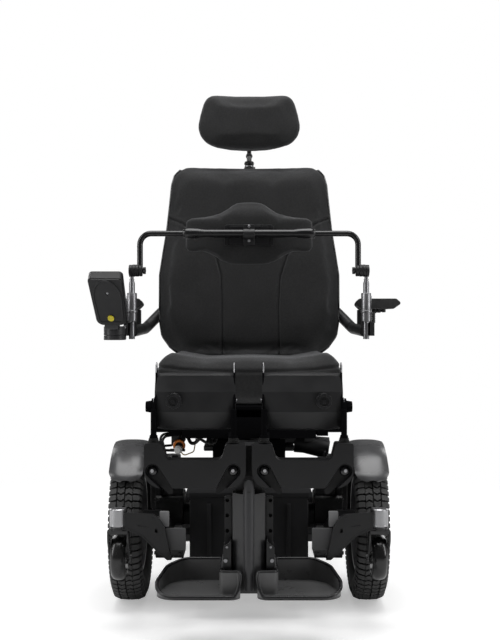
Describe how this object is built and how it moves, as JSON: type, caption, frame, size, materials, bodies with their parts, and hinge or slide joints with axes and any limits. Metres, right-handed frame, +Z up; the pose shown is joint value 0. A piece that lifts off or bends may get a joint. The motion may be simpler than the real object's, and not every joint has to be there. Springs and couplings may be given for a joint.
{
  "type": "standing power wheelchair",
  "caption": "Black standing power wheelchair with knee and chest supports, a joystick, a headrest, tilt, recline, seat lift and front support casters.",
  "frame": {"origin": "middle of the footprint on the floor", "axes": "+Z up, the user faces -Y, so +X is the user's left"},
  "size_m": [0.7402, 1.095, 1.2675],
  "materials": {
    "black_coat": "satin black powder coat",
    "grey_coat": "satin dark grey coat",
    "black_plastic": "fine grained, matt",
    "black_rubber": "smooth, matt",
    "tyre_rubber": "block tread, matt",
    "black_fabric": "stretch cover over foam",
    "satin_steel": "satin"
  },
  "bodies": {
    "chassis": {"base_frame": "black_coat", "base_shroud": "black_plastic", "battery_front": "black_plastic", "battery_rear": "black_plastic", "power_module": "black_plastic", "gearmotor_left": "black_coat", "gearmotor_right": "black_coat", "fender_left": "grey_coat", "fender_right": "grey_coat", "lift_column": "black_coat"},
    "drive_left": {"drive_tyre_left": "tyre_rubber", "drive_rim_left": "grey_coat"},
    "caster_left": {"rear_fork_left": "black_coat"},
    "caster_wheel_left": {"rear_wheel_left": "black_rubber"},
    "support_arm_left": {"support_arm_left": "black_coat"},
    "support_fork_left": {"support_fork_left": "black_coat"},
    "support_wheel_left": {"support_wheel_left": "black_rubber"},
    "drive_right": {"drive_tyre_right": "tyre_rubber", "drive_rim_right": "grey_coat"},
    "caster_right": {"rear_fork_right": "black_coat"},
    "caster_wheel_right": {"rear_wheel_right": "black_rubber"},
    "support_arm_right": {"support_arm_right": "black_coat"},
    "support_fork_right": {"support_fork_right": "black_coat"},
    "support_wheel_right": {"support_wheel_right": "black_rubber"},
    "lift": {"lift_head": "black_coat", "tilt_actuator": "black_plastic"},
    "tilt": {"tilt_frame": "black_coat", "stand_actuator": "black_plastic"},
    "stand": {"seat_frame": "black_coat", "seat_cushion": "black_fabric"},
    "back_carrier": {"back_carrier": "black_coat"},
    "recline": {"back_frame": "black_coat", "back_shell": "black_plastic", "back_cushion": "black_fabric"},
    "head_post": {"headrest_post": "black_coat"},
    "head_tilt": {"headrest_pad": "black_fabric"},
    "armrest_left": {"armrest_tube_left": "black_coat", "armrest_pad_left": "black_rubber"},
    "chest_post_left": {"chest_post_left": "satin_steel"},
    "armrest_right": {"armrest_tube_right": "black_coat", "armrest_pad_right": "black_rubber"},
    "chest_post_right": {"chest_post_right": "satin_steel"},
    "chest_bar": {"chest_bar": "black_coat", "chest_bar_sleeve": "black_plastic", "chest_pad": "black_fabric"},
    "joystick": {"joystick_arm": "black_coat", "joystick_housing": "black_plastic"},
    "stick": {"joystick_lever": "black_rubber"},
    "legrest": {"legrest_frame": "grey_coat", "knee_carrier_left": "black_coat", "knee_carrier_right": "black_coat"},
    "leg_slide": {"leg_slide": "black_coat"},
    "footplate_left": {"footplate_left": "black_plastic"},
    "knee_left": {"knee_shell_left": "black_coat", "knee_pad_left": "black_fabric"},
    "knee_knob_left": {"knee_knob_left": "black_plastic"},
    "footplate_right": {"footplate_right": "black_plastic"},
    "knee_right": {"knee_shell_right": "black_coat", "knee_pad_right": "black_fabric"},
    "knee_knob_right": {"knee_knob_right": "black_plastic"}
  },
  "joints": [
    {"name": "lift", "type": "slide", "parent": "chassis", "child": "lift", "axis": [0, 0, 1], "range_m": [0, 0.2]},
    {"name": "tilt", "type": "hinge", "parent": "lift", "child": "tilt", "pos_m": [0, 0.1975, 0.385], "axis": [1, 0, 0], "range_deg": [-30, 0]},
    {"name": "stand", "type": "hinge", "parent": "tilt", "child": "stand", "pos_m": [0, -0.2375, 0.455], "axis": [1, 0, 0], "range_deg": [0, 75]},
    {"name": "back_keeps_upright", "type": "hinge", "parent": "stand", "child": "back_carrier", "pos_m": [0, 0.3095, 0.47], "axis": [1, 0, 0], "range_deg": [-75, 0]},
    {"name": "recline", "type": "hinge", "parent": "back_carrier", "child": "recline", "pos_m": [0, 0.3095, 0.47], "axis": [1, 0, 0], "range_deg": [-45, 0]},
    {"name": "headrest_height", "type": "slide", "parent": "recline", "child": "head_post", "axis": [0, 0, 1], "range_m": [0, 0.08]},
    {"name": "headrest_tilt", "type": "hinge", "parent": "head_post", "child": "head_tilt", "pos_m": [0, 0.3945, 1.185], "axis": [1, 0, 0], "range_deg": [-25, 15]},
    {"name": "drive_wheel_left", "type": "hinge", "parent": "chassis", "child": "drive_left", "pos_m": [0.272, -0.1025, 0.175], "axis": [1, 0, 0], "continuous": true},
    {"name": "caster_swivel_left", "type": "hinge", "parent": "chassis", "child": "caster_left", "pos_m": [0.215, 0.3975, 0.23], "axis": [0, 0, 1], "continuous": true},
    {"name": "caster_roll_left", "type": "hinge", "parent": "caster_left", "child": "caster_wheel_left", "pos_m": [0.215, 0.4475, 0.1], "axis": [1, 0, 0], "continuous": true},
    {"name": "support_arm_left", "type": "hinge", "parent": "chassis", "child": "support_arm_left", "pos_m": [0.185, -0.1775, 0.165], "axis": [1, 0, 0], "range_deg": [0, 28]},
    {"name": "support_swivel_left", "type": "hinge", "parent": "support_arm_left", "child": "support_fork_left", "pos_m": [0.272, -0.3675, 0.212], "axis": [0, 0, 1], "continuous": true},
    {"name": "support_roll_left", "type": "hinge", "parent": "support_fork_left", "child": "support_wheel_left", "pos_m": [0.272, -0.3425, 0.148], "axis": [1, 0, 0], "continuous": true},
    {"name": "drive_wheel_right", "type": "hinge", "parent": "chassis", "child": "drive_right", "pos_m": [-0.272, -0.1025, 0.175], "axis": [1, 0, 0], "continuous": true},
    {"name": "caster_swivel_right", "type": "hinge", "parent": "chassis", "child": "caster_right", "pos_m": [-0.215, 0.3975, 0.23], "axis": [0, 0, 1], "continuous": true},
    {"name": "caster_roll_right", "type": "hinge", "parent": "caster_right", "child": "caster_wheel_right", "pos_m": [-0.215, 0.4475, 0.1], "axis": [1, 0, 0], "continuous": true},
    {"name": "support_arm_right", "type": "hinge", "parent": "chassis", "child": "support_arm_right", "pos_m": [-0.185, -0.1775, 0.165], "axis": [1, 0, 0], "range_deg": [0, 28]},
    {"name": "support_swivel_right", "type": "hinge", "parent": "support_arm_right", "child": "support_fork_right", "pos_m": [-0.272, -0.3675, 0.212], "axis": [0, 0, 1], "continuous": true},
    {"name": "support_roll_right", "type": "hinge", "parent": "support_fork_right", "child": "support_wheel_right", "pos_m": [-0.272, -0.3425, 0.148], "axis": [1, 0, 0], "continuous": true},
    {"name": "armrest_right", "type": "hinge", "parent": "recline", "child": "armrest_right", "pos_m": [-0.217, 0.3975, 0.664], "axis": [1, 0, 0], "range_deg": [-30, 0]},
    {"name": "chest_post_right", "type": "slide", "parent": "armrest_right", "child": "chest_post_right", "axis": [0, 0, 1], "range_m": [0, 0.06]},
    {"name": "armrest_left", "type": "hinge", "parent": "recline", "child": "armrest_left", "pos_m": [0.217, 0.3975, 0.664], "axis": [1, 0, 0], "range_deg": [-30, 0]},
    {"name": "chest_post_left", "type": "slide", "parent": "armrest_left", "child": "chest_post_left", "axis": [0, 0, 1], "range_m": [0, 0.06]},
    {"name": "chest_bar", "type": "hinge", "parent": "chest_post_right", "child": "chest_bar", "pos_m": [-0.2725, -0.0225, 0.765], "axis": [1, 0, 0], "range_deg": [-10, 45]},
    {"name": "joystick_swing", "type": "hinge", "parent": "armrest_right", "child": "joystick", "pos_m": [-0.3225, -0.0275, 0.609], "axis": [0, 0, 1], "range_deg": [-75, 0]},
    {"name": "joystick_stick", "type": "hinge", "parent": "joystick", "child": "stick", "pos_m": [-0.33, -0.08831, 0.72159], "axis": [1, 0, 0], "range_deg": [-18, 18], "stiffness_Nm_per_rad": 0.4},
    {"name": "legrest", "type": "hinge", "parent": "tilt", "child": "legrest", "pos_m": [0, -0.2575, 0.362], "axis": [1, 0, 0], "range_deg": [-60, 0]},
    {"name": "leg_length", "type": "slide", "parent": "legrest", "child": "leg_slide", "axis": [0, 0, -1], "range_m": [0, 0.07]},
    {"name": "footplate_left", "type": "hinge", "parent": "leg_slide", "child": "footplate_left", "pos_m": [0.0455, -0.4565, 0.174], "axis": [0, -1, 0], "range_deg": [0, 75]},
    {"name": "knee_height_left", "type": "slide", "parent": "legrest", "child": "knee_left", "axis": [0, 0, 1], "range_m": [0, 0.05]},
    {"name": "knee_knob_left", "type": "hinge", "parent": "knee_left", "child": "knee_knob_left", "pos_m": [0.1476, -0.4945, 0.487], "axis": [0, 1, 0], "continuous": true},
    {"name": "footplate_right", "type": "hinge", "parent": "leg_slide", "child": "footplate_right", "pos_m": [-0.0455, -0.4565, 0.174], "axis": [0, 1, 0], "range_deg": [0, 75]},
    {"name": "knee_height_right", "type": "slide", "parent": "legrest", "child": "knee_right", "axis": [0, 0, 1], "range_m": [0, 0.05]},
    {"name": "knee_knob_right", "type": "hinge", "parent": "knee_right", "child": "knee_knob_right", "pos_m": [-0.1476, -0.4945, 0.487], "axis": [0, 1, 0], "continuous": true}
  ],
  "couplings": [
    {"joint": "back_keeps_upright", "follows": "stand", "ratio": -1},
    {"joint": "support_arm_left", "follows": "stand", "ratio": 0.3733},
    {"joint": "support_arm_right", "follows": "stand", "ratio": 0.3733},
    {"joint": "armrest_left", "follows": "armrest_right", "ratio": 1},
    {"joint": "chest_post_left", "follows": "chest_post_right", "ratio": 1}
  ]
}
